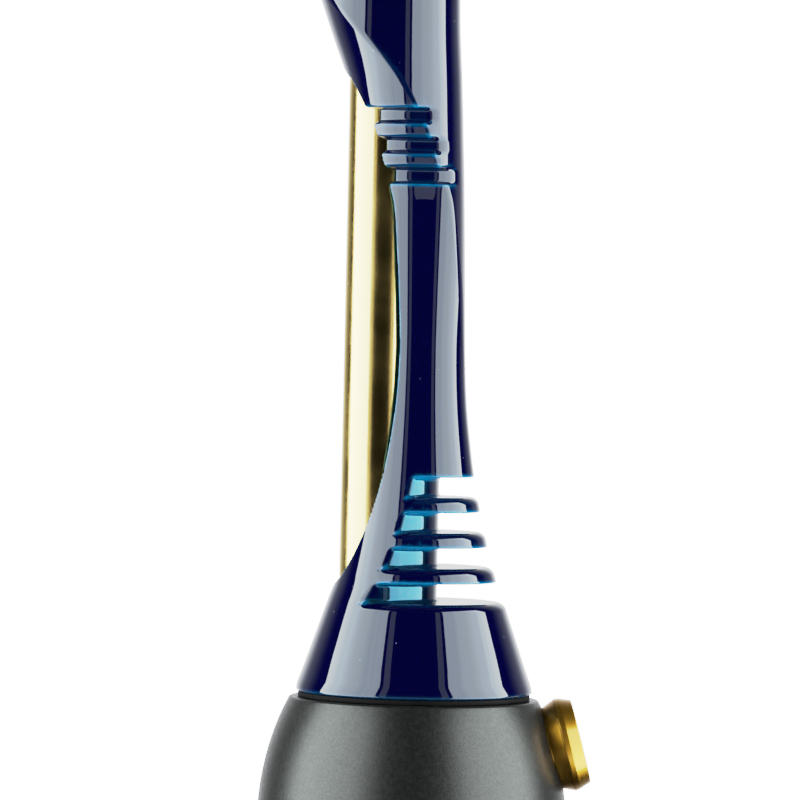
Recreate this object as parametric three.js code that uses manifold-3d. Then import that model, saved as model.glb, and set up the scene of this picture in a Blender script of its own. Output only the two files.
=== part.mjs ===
// Water-pipe stem set: a lacquered sculpted sleeve round an off-centre gold smoke tube, on a bell-shaped
// base cup with a gold hose port, a tray and bowl seat on top and a downstem with diffuser below.
// Millimetres, +Z up, +X towards the hose port. The origin is the centre of the base cup's bottom rim,
// where the vase's neck goes in. The cup and the sleeve's skirt are turned about the Z axis (base axis),
// and the smoke tube and its neighbours about the stem axis, which is offset along -X.
import * as THREE from 'three';
import { mergeVertices } from 'three/addons/utils/BufferGeometryUtils.js';
import Module from 'manifold-3d';

const wasm = await Module();
wasm.setup();

// ---- driving dimensions -------------------------------------------------------------------------------
const STEM_OFFSET = 10.7; // stem axis from base axis, along -X
const GAP = 0.3; // running clearance between neighbouring pieces
const SEAM = 0.1; // seam between faces that are clamped together

// Smoke tube, on the stem axis
const TUBE_R = 10;
const TUBE_BORE_R = 6.5;
const TUBE_THREAD_R = 9; // reduced end that passes through the cup's top plate
const TUBE_BOTTOM = 23;
const TUBE_TOP = 256;
const TUBE_SOCKET_R = 7.4; // takes the downstem
const NUT_R = 12.6;
const NUT_BOTTOM = 25.6;
const CHANNEL_R = 11.3; // open channel for the tube, cut into the sleeve

// Sleeve
const SLEEVE_BOTTOM = 43;
const SLEEVE_TOP = 246;
const SKIRT_BOTTOM_R = 32;
const SKIRT_TOP = 67.55;
const SLOT_H = 5.3;
const FIN_H = 4.05;
const FIN_COUNT = 3;
const FIN_ROUND = 2; // upper outer corner of fins and skirt
const CORE_R = 18.8; // core that carries the fins
const CORE_X = -13.2; // its own axis
const HUB_R = 5; // hidden hub between the turned fins, inside the core
const NECK_BOTTOM = SKIRT_TOP + (FIN_COUNT + 1) * SLOT_H + FIN_COUNT * FIN_H;
const CAVITY_TOP = 60;
const CAVITY_BOTTOM_R = 27.5;
const CAVITY_TOP_R = 20.5;

// Outer shape turned about the base axis, as [height, radius] stations of a smooth curve
const FLARE_AND_NECK = [
  [67.55, 23.6], [74.4, 21.1], [84, 18.5], [93.5, 16.4], [100.9, 15], [108, 13.95], [121, 12.5],
  [135, 11.9], [148, 12.3], [162, 13.05], [173, 13.8], [178.8, 14.9],
];
const TOP_FLARE = [[198.7, 19.1], [207, 21.4], [217.7, 25.3], [228.4, 29], [246, 35]];
// Ribs between the neck and the top flare, and the grooves between them, from the bottom up
const RIBS = [
  { bottom: 183, bottomR: 15.75, top: 187, topR: 16.55 },
  { bottom: 190.8, bottomR: 17.1, top: 194.9, topR: 18 },
];
const GROOVES = [
  { r: 13.2, bottom: 178.8, top: 183 },
  { r: 15, bottom: 187, top: 190.8 },
  { r: 16.4, bottom: 194.9, top: 198.7 },
];
const GROOVE_X = -0.6; // the grooves' own axis
// Second shape, turned about the stem axis, that trims the first one
const TRIM = [
  [104, 30], [112, 26], [118, 24.6], [128, 23.2], [140, 22.4], [152, 22.1], [175, 21.5],
  [191, 20.9], [207, 20.2], [218, 19.55], [228.4, 19.2], [246, 19],
];
const TRIM_OPEN_R = 50; // below the neck nothing is trimmed

// Base cup, on the base axis
const CUP_R = 41.5;
const CUP_TOP = 41.5;
const CUP_WALL_TOP = 7; // the wall is upright up to here and an elliptical dome above
const CUP_DOME_H = 58; // vertical semi-axis of the dome
const SOCKET_R = 34.5; // takes the vase seal
const SOCKET_TOP = 12;
const CHAMBER_R = 24;
const CHAMBER_TOP = 31;

// Hose port: axis in the XZ plane, tilted up, measured from the centre of its ring
const PORT_TILT = THREE.MathUtils.degToRad(15);
const PORT_CENTRE = new THREE.Vector3(42.3, 0, 30.1);
const PORT_RING_R = 12.67; // at its back edge; the ring narrows towards the front
const PORT_RING_BACK = -1.9;
const PORT_RING_FRONT = 2.9;
const PORT_POCKET_R = 11.3;
const PORT_POCKET_DEPTH = -8.3;
const PORT_STEM_R = 7.1;
const PORT_STEM_END = -18.6;
const PORT_FLANGE_R = 11;
const PORT_FLANGE_BACK = -7.2;
const PORT_BORE_R = 5.2;
const PORT_SOCKET_R = 8.2; // takes the hose connector
const PORT_SPIGOT_R = 9.3;

// Purge valve, in the cup's top plate under the sleeve's skirt
const PURGE_X = 14;
const PURGE_BODY_R = 5.5;
const PURGE_BORE_R = 2.2;
const PURGE_FLANGE_R = 7.2;
const PURGE_FLANGE_TOP = 43.2;
const CAGE_R = 6.8;
const CAGE_BORE_R = 4.3;
const CAGE_ROOF = 51.5;
const BALL_R = 3;
const BALL_Z = 43.75;

// Key pin that stops the sleeve turning on the tube
const PIN_R = 1.2;
const PIN_AT_R = 28.8;

// Top of the stem
const COLLAR_R = 19.4;
const COLLAR_SHOULDER = 253.4;
const COLLAR_TOP = 263;
const COLLAR_SPIGOT_R = 14.6;
const SEAT_BORE_R = 9;
const TRAY_R = 76;
const TRAY_HOLE_R = 15;
const TRAY_THICK = 2;
const SEAT_TOP = 288;

// Downstem and diffuser
const DOWNSTEM_R = 7;
const DOWNSTEM_BORE_R = 5.5;
const DOWNSTEM_TOP = 35;
const DOWNSTEM_END = -190;
const DIFFUSER_R = 9.5;
const DIFFUSER_END = -204;
const DIFFUSER_TOP = -168;
const DIFFUSER_SLITS = 6;

// Segments round a turned piece
const COARSE = 12;
const MEDIUM = 20;
const FINE = 44;

// ---- materials ----------------------------------------------------------------------------------------
const finish = (color, roughness, metalness) => () =>
  new THREE.MeshStandardMaterial({ color, roughness, metalness });
const candyBlue = finish(0x10106a, 0.08, 0.3);
const polishedGold = finish(0xd8ae4c, 0.15, 1);
const matteBlack = finish(0x1b1c1e, 0.6, 0.4);
const silicone = finish(0x141414, 0.8, 0);
const steel = finish(0xb8bcc0, 0.3, 1);

// ---- outlines -----------------------------------------------------------------------------------------
// Smooth radius at a height, through [height, radius] stations (cubic Hermite).
function smoothRadius(stations, z) {
  const last = stations.length - 1;
  let i = stations.findIndex(([height], k) => k > 0 && z <= height) - 1;
  if (i < 0) i = z < stations[0][0] ? 0 : last - 1;
  const slope = (k) => {
    const a = stations[Math.max(k - 1, 0)];
    const b = stations[Math.min(k + 1, last)];
    return (b[1] - a[1]) / (b[0] - a[0]);
  };
  const [z0, r0] = stations[i];
  const [z1, r1] = stations[i + 1];
  const h = z1 - z0;
  const t = (z - z0) / h;
  const held = (1 + 2 * t) * (1 - t) ** 2 * r0 + t * t * (3 - 2 * t) * r1;
  return held + t * (1 - t) ** 2 * h * slope(i) - t * t * (1 - t) * h * slope(i + 1);
}

// Points of a smooth curve from its first to its last station, about `step` apart in height.
function curvePoints(stations, step) {
  const from = stations[0][0];
  const to = stations[stations.length - 1][0];
  const count = Math.max(1, Math.round((to - from) / step));
  return Array.from({ length: count + 1 }, (_, k) => {
    const z = from + ((to - from) * k) / count;
    return [smoothRadius(stations, z), z];
  });
}

// Outline of [radius, height, fillet] corners, with each fillet drawn as a short arc.
function rounded(corners, steps = 3) {
  const out = [];
  corners.forEach(([r, z, fillet = 0], i) => {
    if (!fillet) {
      out.push([r, z]);
      return;
    }
    const corner = new THREE.Vector2(r, z);
    const before = corners[(i - 1 + corners.length) % corners.length];
    const after = corners[(i + 1) % corners.length];
    const toBefore = new THREE.Vector2(before[0], before[1]).sub(corner).normalize();
    const toAfter = new THREE.Vector2(after[0], after[1]).sub(corner).normalize();
    const half = Math.acos(THREE.MathUtils.clamp(toBefore.dot(toAfter), -1, 1)) / 2;
    const reach = fillet / Math.tan(half);
    const middle = toBefore.clone().add(toAfter).normalize();
    const centre = corner.clone().addScaledVector(middle, fillet / Math.sin(half));
    const start = corner.clone().addScaledVector(toBefore, reach).sub(centre);
    const end = corner.clone().addScaledVector(toAfter, reach).sub(centre);
    const turn = Math.atan2(start.cross(end), start.dot(end));
    for (let k = 0; k <= steps; k++) {
      const p = start.clone().rotateAround(new THREE.Vector2(), (turn * k) / steps).add(centre);
      out.push([p.x, p.y]);
    }
  });
  return out;
}

// ---- solids -------------------------------------------------------------------------------------------
// Turned body. The outline runs anticlockwise in the (radius, height) plane, closed on itself or the axis.
function turned(outline, segments = MEDIUM) {
  const points = outline.map(([r, z]) => new THREE.Vector2(Math.max(r, 0), z));
  const onAxis = points[0].x === 0 && points[points.length - 1].x === 0;
  if (!onAxis) points.push(points[0].clone());
  return new THREE.LatheGeometry(points, segments).rotateX(Math.PI / 2);
}

const disc = (r, z0, z1, segments) => turned([[0, z0], [r, z0], [r, z1], [0, z1]], segments);
const ring = (inner, outer, z0, z1, segments) =>
  turned([[inner, z0], [outer, z0], [outer, z1], [inner, z1]], segments);

function oRing(centreR, z, thick) {
  return new THREE.TorusGeometry(centreR, thick, 5, MEDIUM).translate(0, 0, z);
}

function solid(geometry) {
  const bare = geometry.clone();
  bare.deleteAttribute('normal');
  bare.deleteAttribute('uv');
  const merged = mergeVertices(bare, 1e-4);
  return new wasm.Manifold(new wasm.Mesh({
    numProp: 3,
    vertProperties: merged.attributes.position.array,
    triVerts: new Uint32Array(merged.index.array),
  }));
}

function geometryOf(body) {
  const { vertProperties, triVerts, numProp } = body.getMesh();
  const positions = new Float32Array((vertProperties.length / numProp) * 3);
  for (let i = 0; i < positions.length / 3; i++) {
    positions.set(vertProperties.subarray(i * numProp, i * numProp + 3), i * 3);
  }
  const geometry = new THREE.BufferGeometry();
  geometry.setAttribute('position', new THREE.BufferAttribute(positions, 3));
  geometry.setIndex(new THREE.BufferAttribute(triVerts, 1));
  return geometry;
}

// A first solid with the others cut out of it.
const cut = (body, cutters) =>
  geometryOf(cutters.reduce((rest, cutter) => rest.subtract(solid(cutter)), body));

const onStem = (geometry) => geometry.translate(-STEM_OFFSET, 0, 0);
const onPin = (geometry) => geometry.translate(0, PIN_AT_R, 0);
const onPurge = (geometry) => geometry.translate(PURGE_X, 0, 0);
// Turned shape whose axis is the port's: its height runs outwards from the centre of the port's ring.
const onPort = (geometry) =>
  geometry.rotateY(Math.PI / 2 - PORT_TILT).translate(PORT_CENTRE.x, PORT_CENTRE.y, PORT_CENTRE.z);

const object = new THREE.Group();
function add(name, geometry, material) {
  const mesh = new THREE.Mesh(geometry, material());
  mesh.name = name;
  object.add(mesh);
}

// ---- sleeve -------------------------------------------------------------------------------------------
// Skirt, fins, neck, ribs and top flare, turned about the base axis.
function finnedShape() {
  const corners = [[0, SLEEVE_BOTTOM], [SKIRT_BOTTOM_R, SLEEVE_BOTTOM, 0.6]];
  corners.push([smoothRadius(FLARE_AND_NECK, SKIRT_TOP), SKIRT_TOP, FIN_ROUND], [HUB_R, SKIRT_TOP]);
  for (let i = 0; i < FIN_COUNT; i++) {
    const z0 = SKIRT_TOP + SLOT_H + i * (SLOT_H + FIN_H);
    const z1 = z0 + FIN_H;
    corners.push([HUB_R, z0], [smoothRadius(FLARE_AND_NECK, z0), z0, 0.3]);
    corners.push([smoothRadius(FLARE_AND_NECK, z1), z1, FIN_ROUND], [HUB_R, z1]);
  }
  corners.push([HUB_R, NECK_BOTTOM]);
  const neck = FLARE_AND_NECK.filter(([z]) => z >= NECK_BOTTOM - 0.2);
  curvePoints(neck, 9).forEach(([r, z]) => corners.push([r, z]));
  for (const rib of RIBS) {
    corners.push([rib.bottomR - 1, rib.bottom - 1], [rib.bottomR, rib.bottom, 0.5]);
    corners.push([rib.topR, rib.top, 0.3], [rib.topR - 1, rib.top + 1]);
  }
  curvePoints(TOP_FLARE, 8).forEach(([r, z]) => corners.push([r, z]));
  corners.push([0, SLEEVE_TOP]);
  return turned(rounded(corners, 2), FINE);
}

// Core behind the slots: an upright cylinder, held inside the flare's smooth outline.
function coreShape() {
  const flare = FLARE_AND_NECK.filter(([z]) => z <= NECK_BOTTOM + 0.2);
  const outline = [[0, SKIRT_TOP - 1], [smoothRadius(FLARE_AND_NECK, SKIRT_TOP), SKIRT_TOP - 1]];
  outline.push(...curvePoints(flare, 5), [0, NECK_BOTTOM]);
  const inside = solid(turned(outline, FINE));
  return solid(disc(CORE_R, SKIRT_TOP - 1, NECK_BOTTOM, FINE).translate(CORE_X, 0, 0)).intersect(inside);
}

function trimShape() {
  const outline = [[0, SLEEVE_BOTTOM - 1], [TRIM_OPEN_R, SLEEVE_BOTTOM - 1], [TRIM_OPEN_R, NECK_BOTTOM]];
  outline.push(...curvePoints(TRIM, 12), [0, SLEEVE_TOP]);
  return solid(onStem(turned(outline, FINE)));
}

function sleeve() {
  const cavity = turned([
    [0, SLEEVE_BOTTOM - 1], [CAVITY_BOTTOM_R, SLEEVE_BOTTOM - 1], [CAVITY_BOTTOM_R, SLEEVE_BOTTOM],
    [CAVITY_TOP_R, CAVITY_TOP], [0, CAVITY_TOP],
  ], FINE);
  const channel = onStem(disc(CHANNEL_R, SLEEVE_BOTTOM - 2, SLEEVE_TOP + 2, FINE));
  const pinHole = onPin(disc(PIN_R + 0.2, SLEEVE_BOTTOM - 1, SLEEVE_BOTTOM + 3, COARSE));
  const grooves = GROOVES.map(({ r, bottom, top }) =>
    ring(r, TRIM_OPEN_R, bottom, top, FINE).translate(GROOVE_X, 0, 0));
  const body = solid(finnedShape()).add(coreShape()).intersect(trimShape());
  return cut(body, [channel, cavity, pinHole, ...grooves]);
}

add('sleeve', sleeve(), candyBlue);

// ---- base ---------------------------------------------------------------------------------------------
function cupOutline() {
  const corners = [[SOCKET_R, 0, 0.4], [CUP_R, 0, 0.8]];
  const steps = 9;
  for (let k = 0; k <= steps; k++) {
    const z = CUP_WALL_TOP + ((CUP_TOP - CUP_WALL_TOP) * k) / steps;
    const rise = (z - CUP_WALL_TOP) / CUP_DOME_H;
    corners.push([CUP_R * Math.sqrt(1 - rise * rise), z, k === steps ? 0.5 : 0]);
  }
  corners.push([0, CUP_TOP], [0, CHAMBER_TOP]);
  corners.push([CHAMBER_R, CHAMBER_TOP], [CHAMBER_R, SOCKET_TOP], [SOCKET_R, SOCKET_TOP]);
  return rounded(corners, 2);
}

function baseCup() {
  // The outline is started on the axis, so that the turned body closes there.
  const outline = cupOutline();
  const top = outline.findIndex(([r]) => r === 0);
  const fromAxis = [...outline.slice(top + 1), ...outline.slice(0, top + 1)];
  const holes = [
    onStem(disc(TUBE_THREAD_R + GAP, CHAMBER_TOP - 1, CUP_TOP + 1, MEDIUM)),
    disc(PURGE_BODY_R + 0.2, CHAMBER_TOP - 1, CUP_TOP + 1, COARSE).translate(PURGE_X, 0, 0),
    onPin(disc(PIN_R + 0.2, CUP_TOP - 5, CUP_TOP + 1, COARSE)),
    onPort(disc(PORT_POCKET_R, PORT_POCKET_DEPTH, 12, MEDIUM)),
    onPort(disc(PORT_STEM_R + 0.2, PORT_STEM_END - 1, PORT_POCKET_DEPTH + 1, MEDIUM)),
  ];
  return cut(solid(turned(fromAxis, FINE)), holes);
}

function baseGasket() {
  const inner = CAVITY_BOTTOM_R - 0.5;
  const band = ring(inner, SKIRT_BOTTOM_R - 0.9, CUP_TOP + SEAM, SLEEVE_BOTTOM - SEAM, FINE);
  return cut(solid(band), [onPin(disc(PIN_R + 0.2, CUP_TOP - 1, SLEEVE_BOTTOM + 1, COARSE))]);
}

add('base_cup', baseCup(), matteBlack);
add('base_gasket', baseGasket(), silicone);
add('sleeve_key_pin', onPin(disc(PIN_R, CUP_TOP - 4.7, SLEEVE_BOTTOM + 2.7, 16)), steel);
add('vase_seal', turned(rounded([
  [25.6, 1.4, 0.6], [27.4, 0.4], [SOCKET_R - GAP, 0.4], [SOCKET_R - GAP, SOCKET_TOP - SEAM],
  [25.6, SOCKET_TOP - SEAM], [25.6, 8.6], [26.8, 7.4], [26.8, 5.6], [25.6, 4.4],
], 2), MEDIUM), silicone);

// ---- smoke tube ---------------------------------------------------------------------------------------
const SHOULDER = CUP_TOP + 1;
add('main_tube', onStem(turned([
  [TUBE_SOCKET_R, TUBE_BOTTOM], [TUBE_THREAD_R, TUBE_BOTTOM], [TUBE_THREAD_R, SHOULDER],
  [TUBE_R, SHOULDER], [TUBE_R, TUBE_TOP - 0.5], [TUBE_R - 0.5, TUBE_TOP], [TUBE_BORE_R, TUBE_TOP],
  [TUBE_BORE_R, DOWNSTEM_TOP + 1], [TUBE_SOCKET_R, DOWNSTEM_TOP + 1],
], MEDIUM)), polishedGold);
const washer = ring(TUBE_THREAD_R + 0.2, NUT_R, CUP_TOP + SEAM, SHOULDER - SEAM, MEDIUM);
add('tube_washer', onStem(washer), steel);

// Round lock nut with four spanner notches, under the cup's top plate.
function tubeNut() {
  const blank = solid(ring(TUBE_THREAD_R + GAP, NUT_R, NUT_BOTTOM, CHAMBER_TOP - SEAM, MEDIUM));
  const notches = [0.5, 1.5, 2.5, 3.5].map((quarter) =>
    new THREE.BoxGeometry(3.2, 3, 8).translate(NUT_R, 0, NUT_BOTTOM).rotateZ((quarter * Math.PI) / 2));
  return onStem(cut(blank, notches));
}
add('tube_nut', tubeNut(), steel);

// ---- hose port ----------------------------------------------------------------------------------------
const portGasketTop = PORT_FLANGE_BACK - SEAM;
const portGasket = ring(PORT_STEM_R + 0.2, 10.6, PORT_POCKET_DEPTH + SEAM, portGasketTop, MEDIUM);
add('port_gasket', onPort(portGasket), silicone);
add('port_fitting', onPort(turned([
  [PORT_BORE_R, PORT_STEM_END], [PORT_STEM_R, PORT_STEM_END], [PORT_STEM_R, PORT_FLANGE_BACK],
  [PORT_FLANGE_R, PORT_FLANGE_BACK], [PORT_FLANGE_R, -5.4], [12.5, PORT_RING_BACK - 0.2],
  [PORT_SPIGOT_R, PORT_RING_BACK - 0.2], [PORT_SPIGOT_R, 0.9], [PORT_SOCKET_R, 0.9],
  [PORT_SOCKET_R, -1.2], [8.75, -1.2], [8.75, -2.8], [PORT_SOCKET_R, -2.8],
  [PORT_SOCKET_R, -6], [PORT_BORE_R, -8],
], MEDIUM)), polishedGold);
add('port_o_ring', onPort(oRing(8.05, -2, 0.6)), silicone);
add('port_ring', onPort(turned([
  [PORT_SPIGOT_R + 0.2, PORT_RING_BACK], [12.6, PORT_RING_BACK], [PORT_RING_R, -1.6], [12.48, -0.3],
  [11.4, 2.65], [11, PORT_RING_FRONT], [8.8, PORT_RING_FRONT], [PORT_SOCKET_R, 2.2],
  [PORT_SOCKET_R, 1.1], [PORT_SPIGOT_R + 0.2, 1.1],
], FINE)), polishedGold);

// ---- purge valve --------------------------------------------------------------------------------------
add('purge_seat', onPurge(turned([
  [PURGE_BORE_R, 33], [PURGE_BODY_R, 33], [PURGE_BODY_R, CUP_TOP + SEAM], [PURGE_FLANGE_R, CUP_TOP + SEAM],
  [PURGE_FLANGE_R, PURGE_FLANGE_TOP], [3.4, PURGE_FLANGE_TOP], [PURGE_BORE_R, 41.6],
], COARSE)), polishedGold);
const ball = new THREE.SphereGeometry(BALL_R, 12, 8).rotateX(Math.PI / 2).translate(0, 0, BALL_Z);
add('purge_ball', onPurge(ball), steel);

// Cap over the ball with four side windows that let the purged air out under the skirt.
function purgeCage() {
  const shell = turned([
    [0, CAGE_ROOF - 1.4], [CAGE_BORE_R, CAGE_ROOF - 1.4], [CAGE_BORE_R, PURGE_FLANGE_TOP + SEAM],
    [CAGE_R, PURGE_FLANGE_TOP + SEAM], [CAGE_R, CAGE_ROOF - 0.8], [CAGE_R - 0.8, CAGE_ROOF], [0, CAGE_ROOF],
  ], COARSE);
  const windows = [0, 1].map((i) =>
    new THREE.BoxGeometry(16, 3, 4).translate(0, 0, 47).rotateZ((i * Math.PI) / 2));
  return cut(solid(shell), windows);
}
add('purge_cage', onPurge(purgeCage()), polishedGold);

// ---- top: collar, tray, bowl seat ---------------------------------------------------------------------
const WASHER_TOP = SLEEVE_TOP + 1.2;
add('collar_washer', onStem(ring(10.4, 18.2, SLEEVE_TOP + SEAM, WASHER_TOP, MEDIUM)), silicone);
add('top_collar', onStem(turned(rounded([
  [TUBE_R + GAP, WASHER_TOP + SEAM], [COLLAR_R, WASHER_TOP + SEAM, 0.6], [COLLAR_R, COLLAR_SHOULDER, 0.8],
  [COLLAR_SPIGOT_R, COLLAR_SHOULDER], [COLLAR_SPIGOT_R, COLLAR_TOP, 0.5], [SEAT_BORE_R, COLLAR_TOP],
  [SEAT_BORE_R, TUBE_TOP + GAP], [TUBE_R + GAP, TUBE_TOP + GAP],
], 2), MEDIUM)), polishedGold);

const TRAY_BOTTOM = COLLAR_SHOULDER + 1.2;
const trayRing = ring(COLLAR_SPIGOT_R + 0.2, 18.4, COLLAR_SHOULDER + SEAM, TRAY_BOTTOM - SEAM, MEDIUM);
add('tray_ring', onStem(trayRing), silicone);
add('tray', onStem(turned(rounded([
  [TRAY_HOLE_R, TRAY_BOTTOM, 0.4], [TRAY_R - 9, TRAY_BOTTOM, 7], [TRAY_R, TRAY_BOTTOM + 9, 0.8],
  [TRAY_R - TRAY_THICK, TRAY_BOTTOM + 9.5, 0.6], [TRAY_R - 10, TRAY_BOTTOM + TRAY_THICK, 5],
  [TRAY_HOLE_R, TRAY_BOTTOM + TRAY_THICK, 0.4],
], 2), FINE)), matteBlack);

const SEAT_FLANGE = COLLAR_TOP + 0.2;
const SEAT_SPIGOT_R = 8.8;
const SEAT_RING_HEIGHTS = [258.6, 261.2];
// Spigot outline from bottom to top with one square groove per O-ring.
function grooved(spigotR, depth, halfWidth, heights) {
  return heights.flatMap((z) => [
    [spigotR, z - halfWidth], [spigotR - depth, z - halfWidth],
    [spigotR - depth, z + halfWidth], [spigotR, z + halfWidth],
  ]);
}
add('bowl_seat', onStem(turned([
  [TUBE_BORE_R, TUBE_TOP + 0.8], [SEAT_SPIGOT_R, TUBE_TOP + 0.8],
  ...grooved(SEAT_SPIGOT_R, 0.9, 0.6, SEAT_RING_HEIGHTS),
  [SEAT_SPIGOT_R, SEAT_FLANGE], [13.4, SEAT_FLANGE], [13.4, SEAT_FLANGE + 2.2], [9.5, SEAT_FLANGE + 2.2],
  [8.2, SEAT_TOP], [TUBE_BORE_R, SEAT_TOP],
], MEDIUM)), polishedGold);
SEAT_RING_HEIGHTS.forEach((z, i) =>
  add(`seat_o_ring_${i + 1}`, onStem(oRing(8.42, z, 0.48)), silicone));
add('bowl_grommet', onStem(turned(rounded([
  [9.75, SEAT_FLANGE + 2.3], [13.2, SEAT_FLANGE + 2.3, 0.8], [12.6, SEAT_FLANGE + 7],
  [11, SEAT_TOP - 3, 0.8], [8.7, SEAT_TOP - 3],
], 2), MEDIUM)), silicone);

// ---- downstem and diffuser ----------------------------------------------------------------------------
const STEM_RING_HEIGHTS = [26.5, 31];
add('downstem', onStem(turned([
  [DOWNSTEM_BORE_R, DOWNSTEM_END], [DOWNSTEM_R, DOWNSTEM_END], [DOWNSTEM_R, 19.6], [TUBE_THREAD_R, 19.6],
  [TUBE_THREAD_R, TUBE_BOTTOM - GAP], [DOWNSTEM_R, TUBE_BOTTOM - GAP],
  ...grooved(DOWNSTEM_R, 0.8, 0.75, STEM_RING_HEIGHTS),
  [DOWNSTEM_R, DOWNSTEM_TOP], [DOWNSTEM_BORE_R, DOWNSTEM_TOP],
], MEDIUM)), steel);
STEM_RING_HEIGHTS.forEach((z, i) =>
  add(`downstem_o_ring_${i + 1}`, onStem(oRing(6.8, z, 0.54)), silicone));

function diffuser() {
  const stop = DOWNSTEM_END - GAP;
  const shell = turned(rounded([
    [0, DIFFUSER_END], [DIFFUSER_R, DIFFUSER_END, 3], [DIFFUSER_R, DIFFUSER_TOP, 0.8],
    [DOWNSTEM_R + GAP, DIFFUSER_TOP], [DOWNSTEM_R + GAP, stop], [DOWNSTEM_BORE_R, stop],
    [DOWNSTEM_BORE_R, DIFFUSER_END + 2], [0, DIFFUSER_END + 2],
  ], 2), MEDIUM);
  // Each slit goes right through and makes two of the openings.
  const slits = Array.from({ length: DIFFUSER_SLITS / 2 }, (_, i) =>
    new THREE.BoxGeometry(4 * DIFFUSER_R, 1.6, 8).translate(0, 0, DIFFUSER_END + 7)
      .rotateZ((i * 2 * Math.PI) / DIFFUSER_SLITS));
  return onStem(cut(solid(shell), slits));
}
add('diffuser', diffuser(), silicone);

export default object;
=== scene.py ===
"""Water-pipe stem set: lacquered sleeve, gold smoke tube, base cup, hose port, tray, bowl seat and downstem.

Lengths in this file are millimetres until a mesh is made, then metres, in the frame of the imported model:
Z up along the stem, X towards the hose port, the origin at the centre of the base cup's bottom rim.
"""

import math

import bmesh
import bpy
import numpy as np
from mathutils import Matrix, Vector


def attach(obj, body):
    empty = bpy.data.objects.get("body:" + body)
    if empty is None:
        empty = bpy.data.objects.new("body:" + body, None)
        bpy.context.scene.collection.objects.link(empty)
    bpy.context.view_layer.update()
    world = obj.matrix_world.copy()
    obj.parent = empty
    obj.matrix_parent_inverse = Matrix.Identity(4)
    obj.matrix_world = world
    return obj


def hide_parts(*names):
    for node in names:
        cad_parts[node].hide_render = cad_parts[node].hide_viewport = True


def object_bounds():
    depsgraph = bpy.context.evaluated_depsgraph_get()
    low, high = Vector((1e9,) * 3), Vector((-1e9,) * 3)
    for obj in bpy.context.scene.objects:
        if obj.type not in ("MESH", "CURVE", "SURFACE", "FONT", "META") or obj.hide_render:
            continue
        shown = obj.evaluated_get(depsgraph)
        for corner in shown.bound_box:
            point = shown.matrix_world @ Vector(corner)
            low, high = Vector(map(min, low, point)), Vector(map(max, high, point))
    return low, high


bl_info = {
    "name": "Water-Pipe Stem Set",
    "version": (1, 0, 0),
    "blender": (4, 5, 0),
    "location": "3D View > Sidebar > Stem Set",
    "description": "Builds the finished pieces of a water-pipe stem set round its packed frame",
    "category": "Object",
}

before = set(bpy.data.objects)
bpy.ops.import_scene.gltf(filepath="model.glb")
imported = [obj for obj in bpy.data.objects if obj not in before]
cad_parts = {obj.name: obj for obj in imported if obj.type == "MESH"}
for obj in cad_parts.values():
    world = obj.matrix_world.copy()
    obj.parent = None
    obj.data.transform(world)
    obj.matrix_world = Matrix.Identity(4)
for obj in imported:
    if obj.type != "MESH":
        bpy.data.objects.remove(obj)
CAD_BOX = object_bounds()

MM = 0.001

# ---- sizes shared by several pieces, mm ------------------------------------------------------------------
STEM_X = -10.7  # the smoke tube's axis, seen from the cup's
SEAM = 0.1
GAP = 0.3

TUBE_R = 10.0
TUBE_BORE_R = 6.5
TUBE_THREAD_R = 9.0
TUBE_BOTTOM = 23.0
TUBE_TOP = 256.0
CHANNEL_R = 11.3

SLEEVE_BOTTOM = 43.0
SLEEVE_TOP = 246.0
SKIRT_TOP = 67.55
SLOT_H = 5.3
FIN_H = 4.05
SLOT_COUNT = 4
CORE_X = -13.2
CORE_R = 18.8
GROOVE_X = -0.6
CAVITY_TOP = 60.0
CAVITY_BOTTOM_R = 27.5
CAVITY_TOP_R = 20.5

# Smooth outer shapes as (height, radius): the first about the cup's axis, the second about the tube's
OUTER = (
    (43.0, 31.55), (44.0, 31.6), (45.5, 31.25), (47.5, 30.52), (50.0, 29.62), (55.0, 27.9),
    (67.55, 23.6), (74.4, 21.1), (84.0, 18.5), (93.5, 16.4), (100.9, 15.0), (108.0, 13.95),
    (121.0, 12.5), (135.0, 11.9), (148.0, 12.3), (162.0, 13.05), (173.0, 13.8),
    (178.8, 14.9), (183.0, 15.75), (187.0, 16.55), (190.8, 17.1), (194.9, 18.0), (198.7, 19.1),
    (207.0, 21.4), (217.7, 25.3), (228.4, 29.0), (246.0, 35.0),
)
TRIM = (
    (43.0, 50.0), (96.0, 50.0), (104.0, 30.0), (112.0, 26.0), (118.0, 24.6), (128.0, 23.2),
    (140.0, 22.4), (152.0, 22.1), (175.0, 21.5), (191.0, 20.9), (207.0, 20.2), (218.0, 19.55),
    (228.4, 19.2), (246.0, 19.0),
)
# Grooves round the ribs: bottom, top, core radius, edge radius below, above
GROOVES = (
    (178.8, 183.0, 13.2, 0.55, 1.25), (187.0, 190.8, 15.0, 1.25, 1.25), (194.9, 198.7, 16.4, 1.25, 0.75),
)
RIB_BOTTOM = GROOVES[0][0]
FIN_SPAN = SLOT_COUNT * (SLOT_H + FIN_H)
FINS_MIDDLE = SKIRT_TOP + FIN_SPAN / 2
CORNER_FILLET = 1.2  # inside a slot or a groove, where its floor and roof meet the core
HEM_H = 2.0  # height of the sleeve's bottom edge, where the lacquer stays thick
THIN_AND_HIGHLIGHT_REACH = 0.55  # how far from an edge the lacquer starts to thin and the painted edge highlight starts

CUP_R = 41.5
CUP_TOP = 41.5
CUP_WALL_TOP = 7.0
CUP_DOME_H = 58.0
SOCKET_R = 34.5
SOCKET_TOP = 12.0
CHAMBER_R = 24.0
CHAMBER_TOP = 31.0
SEAL_R = 25.6
NUT_R = 12.6
NUT_BOTTOM = 25.6

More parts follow.
